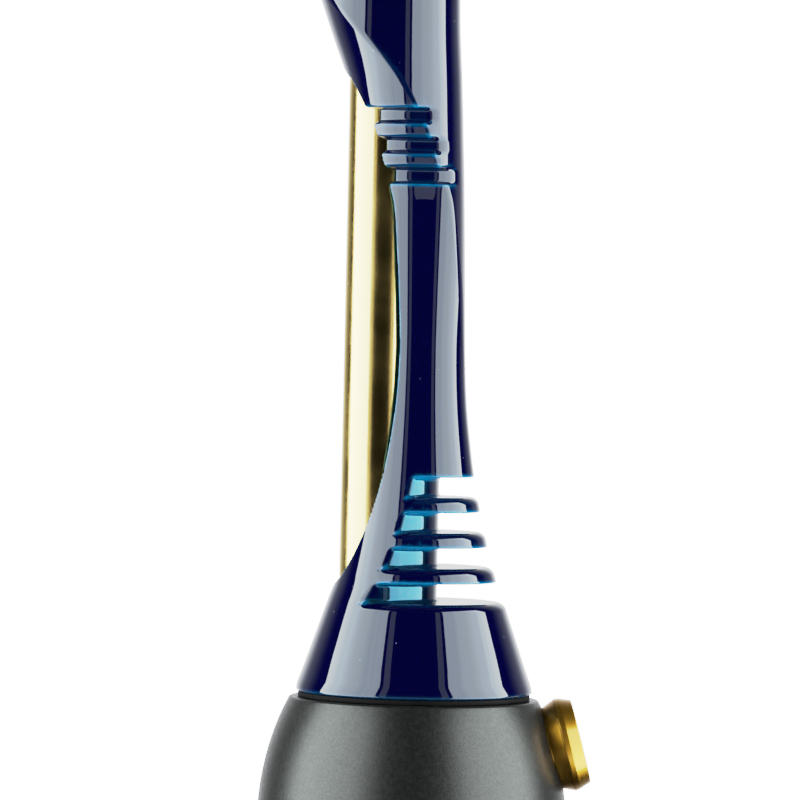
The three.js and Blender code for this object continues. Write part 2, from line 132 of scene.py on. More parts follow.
PORT_TILT = math.radians(15.0)
PORT_CENTRE = (42.3, 0.0, 30.1)
PORT_RING_R = 12.67
PORT_RING_BACK = -1.9
PORT_RING_FRONT = 2.9
PORT_POCKET_R = 11.3
PORT_POCKET_DEPTH = -8.3
PORT_STEM_R = 7.1
PORT_BORE_R = 5.2
PORT_SOCKET_R = 8.2
PORT_SPIGOT_R = 9.3
PORT_STEM_END = -18.6
PORT_FLANGE_R = 11.0
PORT_FLANGE_BACK = -7.2

PURGE_X = 14.0
PURGE_BODY_R = 5.5
PURGE_BORE_R = 2.2
PURGE_FLANGE_R = 7.2
PURGE_FLANGE_TOP = 43.2
CAGE_R = 6.8
CAGE_BORE_R = 4.3
CAGE_TOP = 51.5
BALL_R = 3.0
BALL_Z = 43.75

PIN_R = 1.2
PIN_Y = 28.8

COLLAR_R = 19.4
COLLAR_SHOULDER = 253.4
COLLAR_TOP = 263.0
COLLAR_SPIGOT_R = 14.6
SEAT_BORE_R = 9.0
SEAT_TOP = 288.0
TRAY_R = 76.0
TRAY_HOLE_R = 15.0
TRAY_BOTTOM = COLLAR_SHOULDER + 1.2

DOWNSTEM_R = 7.0
DOWNSTEM_BORE_R = 5.5
DOWNSTEM_TOP = 35.0
DOWNSTEM_END = -190.0
DIFFUSER_R = 9.5
DIFFUSER_END = -204.0
DIFFUSER_TOP = -168.0
DOWNWARD_TRAVEL = 26.5  # the downstem and the diffuser pulled right down, with room to spare

SHARP_ANGLE = math.radians(38)
AXIS_R = 1e-4  # points nearer the axis than this lie on it

# Light in, light out: the shoulder of the film, up to its white
FILM_WHITE = 8.0
FILM_CURVE = ((0.2, 0.2), (0.4, 0.4), (0.7, 0.62), (1.2, 0.74), (2.2, 0.85), (4.5, 0.93))

# Lights on each side of the camera: name, azimuth in degrees, distance and size in metres, share of the
# softboxes' radiance, and whether they dim towards their outer edge
SIDE_LIGHTS = (
    ("softbox", 70.5, 1.1, (1.42, 2.2), 1.0, True),
    ("gap_light", 30.5, 1.5, (0.18, 2.2), 0.1, False),
)


# ---- settings a user would change ------------------------------------------------------------------------
def colour_property(name, description, default):
    return bpy.props.FloatVectorProperty(
        name=name, description=description, subtype="COLOR", size=3, min=0.0, max=1.0, default=default
    )


def length_property(name, description, default, **limits):
    return bpy.props.FloatProperty(
        name=name, description=description, default=default, unit="LENGTH", **limits
    )


class StemLacquerSettings(bpy.types.PropertyGroup):
    """Colours of the candy lacquer on the sleeve."""

    deep: colour_property("Deep Colour", "Lacquer where it is thickest", (0.0005, 0.0004, 0.019))
    # painted reflection: the cyan given to the slots' walls in place of light bounced between the fins
    recess: colour_property("Recess Colour", "Tint of reflections inside the slots", (0.006, 0.07, 0.115))
    # painted highlight: this cyan is the thin lacquer over edges and also a highlight painted over edges, in
    # corners and on the fins' undersides
    thin: colour_property("Thin Colour", "Lacquer where it runs thin over edges", (0.0, 0.2, 0.42))
    orange_peel: bpy.props.FloatProperty(
        name="Orange Peel", description="Height of the lacquer's slow ripple", default=0.02, min=0.0, max=1.0
    )


class StemMetalSettings(bpy.types.PropertyGroup):
    """Colours of the metal pieces."""

    gold: colour_property("Tube Gold", "Polished gold of the smoke tube and top pieces", (0.86, 0.63, 0.21))
    brass: colour_property("Port Gold", "Richer gold of the hose port", (0.6, 0.32, 0.032))
    black: colour_property("Cup Black", "Bead-blasted black of the base cup", (0.040, 0.042, 0.040))
    steel: colour_property("Steel", "Stainless downstem and small parts", (0.55, 0.56, 0.58))


class StemMeshSettings(bpy.types.PropertyGroup):
    """Fineness of the meshes."""

    segments: bpy.props.IntProperty(
        name="Segments", description="Steps round a large turned piece", default=128, min=24, max=512
    )
    sleeve_cell: length_property(
        "Sleeve Cell", "Mesh cell of the sleeve before it is thinned", 0.00036,
        min=0.0001, max=0.005, precision=5,
    )
    sleeve_triangles: bpy.props.IntProperty(
        name="Sleeve Triangles", description="Triangles left on the sleeve", default=190000, min=10000
    )


class StemStudioSettings(bpy.types.PropertyGroup):
    """Camera and lights."""

    camera_distance: length_property("Camera Distance", "From the lens to the stem", 1.318)
    eye_height: length_property("Eye Height", "Height of the lens above the cup's rim", 0.137)
    aim_x: length_property("Aim X", "Where the middle of the view falls, sideways", -0.0054)
    aim_z: length_property("Aim Z", "Where the middle of the view falls, in height", 0.1212)
    roll: bpy.props.FloatProperty(
        name="Roll", description="Lean of the stem in the view", default=math.radians(1.25), subtype="ANGLE"
    )
    lens: bpy.props.FloatProperty(
        name="Lens", description="Focal length on a 36 mm sensor, mm", default=221.3, min=20.0
    )
    softbox_radiance: bpy.props.FloatProperty(
        name="Softbox Radiance", description="Brightness of the two side softboxes", default=7.0, min=0.0
    )


class StemSettings(bpy.types.PropertyGroup):
    """All settings of the stem set."""

    lacquer: bpy.props.PointerProperty(type=StemLacquerSettings)
    metal: bpy.props.PointerProperty(type=StemMetalSettings)
    mesh: bpy.props.PointerProperty(type=StemMeshSettings)
    studio: bpy.props.PointerProperty(type=StemStudioSettings)


# ---- node helpers ----------------------------------------------------------------------------------------
class NodeTree:
    """Short calls for adding and linking shader nodes."""

    def __init__(self, tree):
        self.tree = tree

    def add(self, kind, label="", **values):
        node = self.tree.nodes.new(kind)
        node.label = label
        for name, value in values.items():
            setattr(node, name, value)
        return node

    def link(self, source, target):
        self.tree.links.new(source, target)

    def feed(self, value, socket):
        """Links a socket or sets a value; a colour of three numbers is opaque."""
        if isinstance(value, bpy.types.NodeSocket):
            self.link(value, socket)
        elif socket.type == "RGBA" and len(value) == 3:
            socket.default_value = (*value, 1.0)
        else:
            socket.default_value = value

    def math(self, operation, a, b=0.0, clamp=False):
        node = self.add("ShaderNodeMath", operation=operation, use_clamp=clamp)
        for socket, value in zip(node.inputs, (a, b)):
            self.feed(value, socket)
        return node.outputs[0]

    def ramp(self, value, low, high, to_low=0.0, to_high=1.0):
        node = self.add("ShaderNodeMapRange", interpolation_type="SMOOTHSTEP")
        for socket, number in zip(node.inputs, (value, low, high, to_low, to_high)):
            self.feed(number, socket)
        return node.outputs[0]

    def mix_colour(self, factor, a, b):
        node = self.add("ShaderNodeMix", data_type="RGBA")
        for socket, value in zip((node.inputs[0], *node.inputs[6:8]), (factor, a, b)):
            self.feed(value, socket)
        return node.outputs[2]

    def noise(self, place, scale, detail=2.0, roughness=0.5, space="3D"):
        node = self.add("ShaderNodeTexNoise", noise_dimensions=space)
        where = "W" if space == "1D" else "Vector"
        for label, value in ((where, place), ("Scale", scale), ("Detail", detail), ("Roughness", roughness)):
            self.feed(value, node.inputs[label])
        return node.outputs["Fac"]

    def split(self, vector):
        node = self.add("ShaderNodeSeparateXYZ")
        self.link(vector, node.inputs[0])
        return node.outputs


def group_tree(name, defaults, outputs):
    """A new shader node group that takes a vector and named numbers, and puts out values."""
    group = bpy.data.node_groups.new(name, "ShaderNodeTree")
    group.interface.new_socket(name="Vector", in_out="INPUT", socket_type="NodeSocketVector")
    for label, default in defaults.items():
        socket = group.interface.new_socket(name=label, in_out="INPUT", socket_type="NodeSocketFloat")
        socket.default_value = default
    for label in outputs:
        group.interface.new_socket(name=label, in_out="OUTPUT", socket_type="NodeSocketFloat")
    nodes = NodeTree(group)
    return nodes, nodes.add("NodeGroupInput").outputs, nodes.add("NodeGroupOutput").inputs


def make_speck_group():
    """Sparse dust specks: a mask of tiny dots."""
    nodes, given, out = group_tree("Dust Specks", {"Density": 260.0, "Size": 0.12}, ["Mask"])
    cells = nodes.add("ShaderNodeTexVoronoi", "One cell in many holds a speck")
    nodes.link(given["Vector"], cells.inputs["Vector"])
    nodes.link(given["Density"], cells.inputs["Scale"])
    dot = nodes.math("LESS_THAN", cells.outputs["Distance"], given["Size"])
    pick = nodes.add("ShaderNodeSeparateColor")
    nodes.link(cells.outputs["Color"], pick.inputs[0])
    chosen = nodes.math("GREATER_THAN", pick.outputs[0], 0.86)
    nodes.link(nodes.math("MULTIPLY", dot, chosen), out["Mask"])


def make_handling_group():
    """Slow cloudy variation of a finish, as handling and polishing leave it."""
    nodes, given, out = group_tree("Handling Marks", {"Scale": 40.0, "Low": 0.0, "High": 1.0}, ["Value"])
    cloud = nodes.noise(given["Vector"], given["Scale"], 4.0)
    nodes.link(nodes.ramp(cloud, 0.35, 0.65, given["Low"], given["High"]), out["Value"])


def make_turning_group():
    """Fine lines left by turning or polishing on a lathe: rings round the Z axis."""
    nodes, given, out = group_tree("Turning Lines", {"Pitch": 4000.0, "Radial": 0.0}, ["Height"])
    x, y, z = nodes.split(given["Vector"])
    square = nodes.math("ADD", nodes.math("POWER", x, 2.0), nodes.math("POWER", y, 2.0))
    radius = nodes.math("MULTIPLY", nodes.math("SQRT", square), given["Radial"])
    along = nodes.math("MULTIPLY", nodes.math("ADD", z, radius), given["Pitch"])
    nodes.link(nodes.noise(along, 1.0, 3.0, space="1D"), out["Height"])


def make_grain_group():
    """Bead-blasted grain: a fine, even pebble."""
    nodes, given, out = group_tree("Blasted Grain", {"Scale": 2600.0}, ["Height", "Tint"])
    grain = nodes.noise(given["Vector"], given["Scale"], 3.0, 0.7)
    nodes.link(grain, out["Height"])
    nodes.link(nodes.ramp(grain, 0.3, 0.7), out["Tint"])


def use_group(nodes, name, vector, **values):
    node = nodes.add("ShaderNodeGroup")
    node.node_tree = bpy.data.node_groups[name]
    nodes.link(vector, node.inputs["Vector"])
    for label, value in values.items():
        node.inputs[label].default_value = value
    return node.outputs


def object_vector(nodes, offset_x=0.0):
    """Object coordinates, moved so that the piece's own axis is the pattern's."""
    coordinates = nodes.add("ShaderNodeTexCoord")
    if not offset_x:
        return coordinates.outputs["Object"]
    mapping = nodes.add("ShaderNodeMapping")
    mapping.inputs["Location"].default_value = (-offset_x, 0.0, 0.0)
    nodes.link(coordinates.outputs["Object"], mapping.inputs["Vector"])
    return mapping.outputs["Vector"]


def bump(nodes, height, strength, distance):
    node = nodes.add("ShaderNodeBump")
    node.inputs["Strength"].default_value = strength
    node.inputs["Distance"].default_value = distance
    nodes.link(height, node.inputs["Height"])
    return node.outputs["Normal"]


def new_material(name, **sockets):
    """A material with one Principled BSDF whose plain values are set on its own sockets."""
    material = bpy.data.materials.new(name)
    material.use_nodes = True
    nodes = NodeTree(material.node_tree)
    shader = material.node_tree.nodes["Principled BSDF"]
    for label, value in sockets.items():
        shader.inputs[label.replace("_", " ")].default_value = value
    return nodes, shader


def connect(nodes, shader, colour, roughness, normal):
    """Links what varies over a finish to its shader."""
    for label, source in (("Base Color", colour), ("Roughness", roughness), ("Normal", normal)):
        nodes.link(source, shader.inputs[label])


def make_lacquer(settings):
    """Candy lacquer: deep in the middle, cyan where it runs thin over edges, with a painted cyan highlight
    there, in corners and under the fins, and a painted cyan reflection on the slots' walls.
    """
    nodes, shader = new_material(
        "blue_lacquer", IOR=1.52, Specular_Tint=(0.78, 0.92, 1.0, 1.0),
        Coat_Weight=0.25, Coat_Roughness=0.012,
    )
    vector = object_vector(nodes)
    # thin lacquer over edges, with a painted cyan highlight over edges, in corners and on the fins'
    # undersides
    thin = nodes.add("ShaderNodeAttribute", attribute_name="thin_paint_and_highlight")
    # mask of the painted cyan reflection on the slots' walls
    recess = nodes.add("ShaderNodeAttribute", attribute_name="recess")
    cloud = use_group(nodes, "Handling Marks", vector, Scale=55.0, Low=0.85, High=1.1)["Value"]
    thin_and_highlight = nodes.math("MULTIPLY", thin.outputs["Fac"], cloud, clamp=True)
    specks = use_group(nodes, "Dust Specks", vector, Density=420.0, Size=0.055)["Mask"]
    # painted reflection: the slots' walls turn cyan
    inner = nodes.mix_colour(recess.outputs["Fac"], settings.lacquer.deep, settings.lacquer.recess)
    base = nodes.mix_colour(thin_and_highlight, inner, settings.lacquer.thin)
    colour = nodes.mix_colour(specks, base, (0.25, 0.28, 0.36))
    # the painted slot reflection also turns the walls metallic, so the cyan tints what they mirror
    nodes.link(nodes.math("MULTIPLY", recess.outputs["Fac"], 0.9), shader.inputs["Metallic"])
    peel = bump(nodes, nodes.noise(vector, 260.0), settings.lacquer.orange_peel, 0.0004)
    connect(nodes, shader, colour, nodes.ramp(thin_and_highlight, 0.0, 1.0, 0.02, 0.07), peel)


def make_gold(name, colour, axis_x, low, high, coat):
    """Polished gold with faint lathe lines and handling marks."""
    nodes, shader = new_material(name, Metallic=1.0, Coat_Weight=coat, Coat_Roughness=0.03)
    vector = object_vector(nodes, axis_x)
    lines = use_group(nodes, "Turning Lines", vector, Pitch=5200.0, Radial=1.0)["Height"]
    marks = use_group(nodes, "Handling Marks", vector, Scale=70.0, Low=low, High=high)["Value"]
    specks = use_group(nodes, "Dust Specks", vector, Density=330.0, Size=0.05)["Mask"]
    tone = nodes.mix_colour(marks, colour, [c * 0.9 for c in colour])
    dusty = nodes.mix_colour(specks, tone, (0.95, 0.93, 0.85))
    roughness = nodes.math("ADD", marks, nodes.math("MULTIPLY", specks, 0.3))
    connect(nodes, shader, dusty, roughness, bump(nodes, lines, 0.03, 0.00005))


def make_blasted_black(settings):
    """Bead-blasted, black anodised metal."""
    nodes, shader = new_material("blasted_black", Metallic=0.9, Specular_IOR_Level=0.3)
    vector = object_vector(nodes)
    grain = use_group(nodes, "Blasted Grain", vector, Scale=2400.0)
    fleck = nodes.noise(vector, 900.0)
    black = settings.metal.black
    tone = nodes.mix_colour(grain["Tint"], black, [c * 1.35 for c in black])
    roughness = nodes.ramp(fleck, 0.3, 0.7, 0.29, 0.36)
    connect(nodes, shader, tone, roughness, bump(nodes, grain["Height"], 0.25, 0.00012))


def make_satin_black():
    """Satin black anodised tray with turning lines."""
    nodes, shader = new_material("satin_black", Metallic=0.4)
    vector = object_vector(nodes, STEM_X * MM)
    lines = use_group(nodes, "Turning Lines", vector, Pitch=2600.0, Radial=1.0)["Height"]
    marks = use_group(nodes, "Handling Marks", vector, Scale=24.0, Low=0.3, High=0.42)["Value"]
    tone = nodes.mix_colour(lines, (0.02, 0.02, 0.022), (0.04, 0.041, 0.044))
    connect(nodes, shader, tone, marks, bump(nodes, lines, 0.2, 0.0001))


def make_silicone():
    """Matte black silicone of the seals, with a dusty bloom."""
    nodes, shader = new_material("black_silicone", Specular_IOR_Level=0.06)
    vector = object_vector(nodes)
    bloom = use_group(nodes, "Handling Marks", vector, Scale=90.0, Low=0.0, High=1.0)["Value"]
    grain = use_group(nodes, "Blasted Grain", vector, Scale=1500.0)
    tone = nodes.mix_colour(bloom, (0.003, 0.003, 0.0033), (0.006, 0.006, 0.0063))
    roughness = nodes.ramp(bloom, 0.0, 1.0, 0.55, 0.7)
    connect(nodes, shader, tone, roughness, bump(nodes, grain["Height"], 0.15, 0.0001))


def make_steel(settings):
    """Finely brushed stainless steel."""
    nodes, shader = new_material("brushed_steel", Metallic=1.0)
    vector = object_vector(nodes, STEM_X * MM)
    lines = use_group(nodes, "Turning Lines", vector, Pitch=6400.0, Radial=1.0)["Height"]
    marks = use_group(nodes, "Handling Marks", vector, Scale=45.0, Low=0.2, High=0.32)["Value"]
    steel = settings.metal.steel
    tone = nodes.mix_colour(lines, steel, [c * 0.8 for c in steel])
    connect(nodes, shader, tone, marks, bump(nodes, lines, 0.12, 0.00006))


# ---- mesh helpers ----------------------------------------------------------------------------------------
def smooth_curve(stations, z):
    """Radius and slope of the smooth curve through (height, radius) stations, at an array of heights."""
    heights, radii = np.array(stations).T
    slopes = np.empty_like(radii)
    slopes[1:-1] = (radii[2:] - radii[:-2]) / (heights[2:] - heights[:-2])
    slopes[0] = (radii[1] - radii[0]) / (heights[1] - heights[0])
    slopes[-1] = (radii[-1] - radii[-2]) / (heights[-1] - heights[-2])
    z = np.clip(z, heights[0], heights[-1])
    i = np.clip(np.searchsorted(heights, z, side="right") - 1, 0, len(heights) - 2)
    h = heights[i + 1] - heights[i]
    t = (z - heights[i]) / h
    r0, r1, m0, m1 = radii[i], radii[i + 1], slopes[i], slopes[i + 1]
    radius = (1 + 2 * t) * (1 - t) ** 2 * r0 + t * t * (3 - 2 * t) * r1
    radius += h * t * (1 - t) * ((1 - t) * m0 - t * m1)
    slope = 6 * t * (1 - t) * (r1 - r0) / h + (1 - t) * (1 - 3 * t) * m0 + t * (3 * t - 2) * m1
    return radius, slope


def outline_mesh(outline):
    """A bmesh wire through (radius, height) points, closed unless both ends lie on the axis."""
    bm = bmesh.new()
    verts = [bm.verts.new((max(r, 0.0) * MM, 0.0, z * MM)) for r, z in outline]
    for a, b in zip(verts, verts[1:]):
        bm.edges.new((a, b))
    if outline[0][0] > AXIS_R or outline[-1][0] > AXIS_R:
        bm.edges.new((verts[-1], verts[0]))
    return bm


def move(bm, x, y=0.0, z=0.0):
    """Moves a body by lengths in mm."""
    bmesh.ops.translate(bm, verts=bm.verts, vec=(x * MM, y * MM, z * MM))
    return bm


def spun(bm, steps):
    """Spins a wire about the Z axis into a closed body."""
    bmesh.ops.spin(
        bm, geom=bm.verts[:] + bm.edges[:], cent=(0, 0, 0), axis=(0, 0, 1), dvec=(0, 0, 0),
        angle=math.tau, steps=steps, use_merge=True, use_duplicate=False,
    )
    bmesh.ops.remove_doubles(bm, verts=bm.verts, dist=1e-6)
    bmesh.ops.dissolve_degenerate(bm, edges=bm.edges, dist=1e-7)
    bmesh.ops.recalc_face_normals(bm, faces=bm.faces)
    return bm


def turned(outline, segments, axis_x=0.0):
    """A body turned about an upright axis from its outline."""
    return move(spun(outline_mesh(outline), segments), axis_x)


def soften(bm, radius, segments=3, least_angle=28.0):
    """Rounds every edge that turns by more than the least angle."""
    sharp = [e for e in bm.edges if e.is_manifold and e.calc_face_angle(0.0) > math.radians(least_angle)]
    bmesh.ops.bevel(
        bm, geom=sharp, offset=radius * MM, offset_type="OFFSET", segments=segments, profile=0.5,
        affect="EDGES", material=-1, clamp_overlap=True,
    )
    return bm


def smooth_shading(mesh):
    mesh.shade_smooth()
    mesh.set_sharp_from_angle(angle=SHARP_ANGLE)


def mesh_object(name, bm, finish):
    mesh = bpy.data.meshes.new(name)
    bm.to_mesh(mesh)
    bm.free()
    smooth_shading(mesh)
    mesh.materials.append(bpy.data.materials[finish])
    piece = bpy.data.objects.new(name, mesh)
    bpy.context.scene.collection.objects.link(piece)
    return piece


def stand_for(piece, node, body):
    """The finished piece rides on its body and is shown instead of its CAD node."""
    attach(piece, body)
    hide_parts(node)
    return piece


def finished(node, body, bm, finish):
    """Makes the piece that stands for a CAD node from its body."""
    return stand_for(mesh_object(node + "_finished", bm, finish), node, body)


def even_normals(piece):
    """Keeps flat faces flat up to their rounded edges."""
    modifier = piece.modifiers.new("Even Normals", "WEIGHTED_NORMAL")
    modifier.keep_sharp = True
    modifier.weight = 80
    return piece


def bake_modifiers(piece):
    """Turns the piece's modifiers into its mesh."""
    graph = bpy.context.evaluated_depsgraph_get()
    mesh = bpy.data.meshes.new_from_object(piece.evaluated_get(graph), depsgraph=graph)
    old = piece.data
    piece.modifiers.clear()
    piece.data = mesh
    bpy.data.meshes.remove(old)
    return piece


def cut(piece, cutters):
    """Cuts bmesh bodies out of a piece."""
    for bm in cutters:
        tool = mesh_object("cutter", bm, piece.data.materials[0].name)
        modifier = piece.modifiers.new("Cut", "BOOLEAN")
        modifier.operation = "DIFFERENCE"
        modifier.solver = "EXACT"
        modifier.object = tool
        bake_modifiers(piece)
        bpy.data.objects.remove(tool)
    smooth_shading(piece.data)
    return piece


def boxes_round_axis(count, first_turn, turn, size, centre):
    """Boxes spread round the Z axis, to cut notches, windows or slits."""
    boxes = []
    for i in range(count):
        bm = bmesh.new()
        bmesh.ops.create_cube(bm, size=1.0)
        bmesh.ops.scale(bm, verts=bm.verts, vec=[length * MM for length in size])
        move(bm, *centre)
        place = Matrix.Rotation(first_turn + i * turn, 3, "Z")
        bmesh.ops.rotate(bm, verts=bm.verts, cent=(0, 0, 0), matrix=place)
        boxes.append(bm)
    return boxes


def set_on_axis(piece, axis_x):
    piece.data.transform(Matrix.Translation((axis_x * MM, 0, 0)))
    return piece


def disc(radius, z0, z1, segments, axis_x=0.0):
    return turned([(0, z0), (radius, z0), (radius, z1), (0, z1)], segments, axis_x)


def ring(inner, outer, z0, z1):
    return [(inner, z0), (outer, z0), (outer, z1), (inner, z1)]


def turned_piece(node, body, outline, axis_x, finish, edge=0.15, segments=96, edge_segments=2):
    """The usual piece of this object: turned, its edges broken, riding on its body."""
    bm = turned(outline, segments, axis_x)
    if edge:
        soften(bm, edge, edge_segments)
    return even_normals(finished(node, body, bm, finish))


def o_ring(node, body, centre_r, z, thick, on_port=False):
    """A round seal on the smoke tube's axis or the hose port's: a small circle spun about it."""
    bm = bmesh.new()
    bmesh.ops.create_circle(bm, segments=12, radius=thick * MM)
    bmesh.ops.rotate(bm, verts=bm.verts, cent=(0, 0, 0), matrix=Matrix.Rotation(math.pi / 2, 3, "X"))
    spun(move(bm, centre_r, 0, z), 72)
    if on_port:
        lay_on_port(bm)
    else:
        move(bm, STEM_X)
    return finished(node, body, bm, "black_silicone")


def lay_on_port(bm):
    """Turns a body from the Z axis onto the hose port's axis."""
    bmesh.ops.rotate(
        bm, verts=bm.verts, cent=(0, 0, 0), matrix=Matrix.Rotation(math.pi / 2 - PORT_TILT, 3, "Y")
    )
    bmesh.ops.translate(bm, verts=bm.verts, vec=Vector(PORT_CENTRE) * MM)
    return bm


# ---- the sleeve's shape ----------------------------------------------------------------------------------
def join_round(a, b, radius):
    """Distance to the union of two bodies, with a fillet."""
    outside = np.sqrt(np.maximum(radius - a, 0) ** 2 + np.maximum(radius - b, 0) ** 2)
    return np.maximum(radius, np.minimum(a, b)) - outside


def cut_round(a, b, radius):
    """Distance to the intersection of two bodies, with a rounded edge."""
    inside = np.sqrt(np.maximum(radius + a, 0) ** 2 + np.maximum(radius + b, 0) ** 2)
    return np.minimum(-radius, np.maximum(a, b)) + inside


def sleeve_cuts():
    """Slots and grooves as (bottom, top, axis x, core radius, edge radius below, above, at the core)."""
    floors = [SKIRT_TOP + i * (SLOT_H + FIN_H) for i in range(SLOT_COUNT)]
    slots = [(z, z + SLOT_H, CORE_X, CORE_R, 1.9, 0.6, 0.8) for z in floors]
    grooves = [(bottom, top, GROOVE_X, r, below, above, 0.9) for bottom, top, r, below, above in GROOVES]
    return slots + grooves


def sleeve_distance(p):
    """Signed distance of points (n, 3) in mm to the sleeve's surface, and how much of it is a cut face."""
    x, y, z = p.T
    radius, slope = smooth_curve(OUTER, z)
    outer = (np.hypot(x, y) - radius) / np.sqrt(1 + slope**2)
    radius, slope = smooth_curve(TRIM, z)
    trim = (np.hypot(x - STEM_X, y) - radius) / np.sqrt(1 + slope**2)
    d = cut_round(outer, trim, 0.45)
    recess = np.full(len(p), -9.0)
    for bottom, top, axis_x, core_r, edge_below, edge_above, edge_core in sleeve_cuts():
        slab = np.minimum(z - bottom, top - z)
        core = np.hypot(x - axis_x, y) - core_r
        kept = join_round(slab, core, CORNER_FILLET)
        t = np.clip((z - bottom) / (top - bottom), 0, 1)
        edge = edge_below + (edge_above - edge_below) * t * t * (3 - 2 * t)
        edge = np.where(slab > core, edge_core, edge)
        d = cut_round(d, kept, edge)
        recess = np.maximum(recess, kept)
    d = cut_round(d, CHANNEL_R - np.hypot(x - STEM_X, y), 0.35)
    lean = (CAVITY_TOP_R - CAVITY_BOTTOM_R) / (CAVITY_TOP - SLEEVE_BOTTOM)
    cavity = np.maximum(np.hypot(x, y) - CAVITY_BOTTOM_R - (z - SLEEVE_BOTTOM) * lean, z - CAVITY_TOP)
    d = cut_round(d, -cavity, 0.3)
    pin_hole_r = PIN_R + 0.2
    pin_hole = np.maximum(np.hypot(x, y - PIN_Y) - pin_hole_r, z - SLEEVE_BOTTOM - 3)
    d = cut_round(d, -pin_hole, 0.05)
    d = cut_round(d, SLEEVE_BOTTOM - z, 0.6)
    d = cut_round(d, z - SLEEVE_TOP, 0.4)
    return d, recess


def distance_normal(p, step=0.02):
    """Unit normals of the distance field at points in mm."""
    columns = []
    for axis in range(3):
        offset = np.zeros(3)
        offset[axis] = step
        columns.append(sleeve_distance(p + offset)[0] - sleeve_distance(p - offset)[0])
    normal = np.stack(columns, axis=1)
    return normal / np.maximum(np.linalg.norm(normal, axis=1, keepdims=True), 1e-9)


def settle_on_surface(mesh, rounds):
    """Moves each vertex along the field's normal onto the sleeve's exact surface."""
    p = read_points(mesh)
    for _ in range(rounds):
        d = sleeve_distance(p)[0]
        p -= np.clip(d, -0.4, 0.4)[:, None] * distance_normal(p)
    mesh.vertices.foreach_set("co", (p * MM).astype(np.float32).ravel())
    mesh.update()
    return p


def read_points(mesh):
    co = np.empty(len(mesh.vertices) * 3, np.float32)
    mesh.vertices.foreach_get("co", co)
    return co.reshape(-1, 3).astype(float) / MM


def thinness_and_painted_highlight(p, normal):
    """0 where the lacquer lies thick; towards 1 over convex edges, where the lacquer runs thin and a cyan
    highlight is painted, and in corners and on the fins' undersides, where only a highlight is painted.
    """
    side = np.cross(normal, (0.0, 0.0, 1.0))
    side = np.where(np.linalg.norm(side, axis=1, keepdims=True) < 1e-3, (1.0, 0.0, 0.0), side)
    side /= np.linalg.norm(side, axis=1, keepdims=True)
    up = np.cross(side, normal)
    bend = np.zeros(len(p))
    for way in (side, -side, up, -up):
        bend += sleeve_distance(p + THIN_AND_HIGHLIGHT_REACH * way)[0]
    bend /= 4 * THIN_AND_HIGHLIGHT_REACH
    # convex edges: thin lacquer with a painted highlight; concave corners and the fins' undersides: painted
    # highlight only
    convex = np.clip((bend - 0.06) / 0.2, 0, 1)
    concave = np.clip((-bend - 0.06) / 0.25, 0, 1)
    under = np.clip((-normal[:, 2] - 0.1) / 0.5, 0, 1) * (np.abs(p[:, 2] - FINS_MIDDLE) < 0.5 * FIN_SPAN)
    hem = np.where(p[:, 2] < SLEEVE_BOTTOM + HEM_H, 0.3, 1.0)
    return np.clip(convex * 0.85 + concave * 0.3 + under, 0, 1) * hem


def spread_over_edges(mesh, value, rounds):
    """Averages a value with its neighbours', so that it has no single-vertex spikes."""
    ends = np.empty(len(mesh.edges) * 2, np.int32)
    mesh.edges.foreach_get("vertices", ends)
    a, b = ends.reshape(-1, 2).T
    count = np.bincount(a, minlength=len(value)) + np.bincount(b, minlength=len(value))
    for _ in range(rounds):
        total = np.bincount(a, value[b], len(value)) + np.bincount(b, value[a], len(value))
        value = 0.5 * value + 0.5 * total / np.maximum(count, 1)
    return value


def add_point_values(mesh, name, value):
    attribute = mesh.attributes.new(name, "FLOAT", "POINT")
    attribute.data.foreach_set("value", value.astype(np.float32))


class STEMSET_OT_materials(bpy.types.Operator):
    """Build the finishes and the effects that they share"""

    bl_idname = "stemset.materials"
    bl_label = "Finishes"

    def execute(self, context):
        settings = context.scene.stem_set
        make_speck_group()
        make_handling_group()
        make_turning_group()
        make_grain_group()
        make_lacquer(settings)
        make_gold("tube_gold", settings.metal.gold, STEM_X * MM, 0.15, 0.22, 0.0)
        make_gold("port_gold", settings.metal.brass, 0.0, 0.34, 0.4, 0.6)
        make_blasted_black(settings)
        make_satin_black()
        make_silicone()
        make_steel(settings)
        return {"FINISHED"}


def thin_plain_faces(piece, ratio):
    """Thins the mesh where it is plain or hidden and keeps it fine round edges and corners."""
    p = read_points(piece.data)
    detail = np.clip(thinness_and_painted_highlight(p, distance_normal(p)) * 3, 0, 1)
    detail[np.hypot(p[:, 0] - STEM_X, p[:, 1]) < CHANNEL_R + 0.2] = 0
    detail[(p[:, 2] < CAVITY_TOP) & (np.hypot(p[:, 0], p[:, 1]) < CAVITY_BOTTOM_R)] = 0
    detail = spread_over_edges(piece.data, detail, 4)
    plain = piece.vertex_groups.new(name="plain")
    for level in range(11):
        chosen = np.flatnonzero(np.round((1 - detail) * 10) == level)
        if level and len(chosen):
            plain.add(chosen.tolist(), level / 10, "REPLACE")
    thin = piece.modifiers.new("Thin", "DECIMATE")
    thin.ratio = ratio
    thin.vertex_group = plain.name
    thin.vertex_group_factor = 1.0
    bake_modifiers(piece)
    piece.vertex_groups.clear()


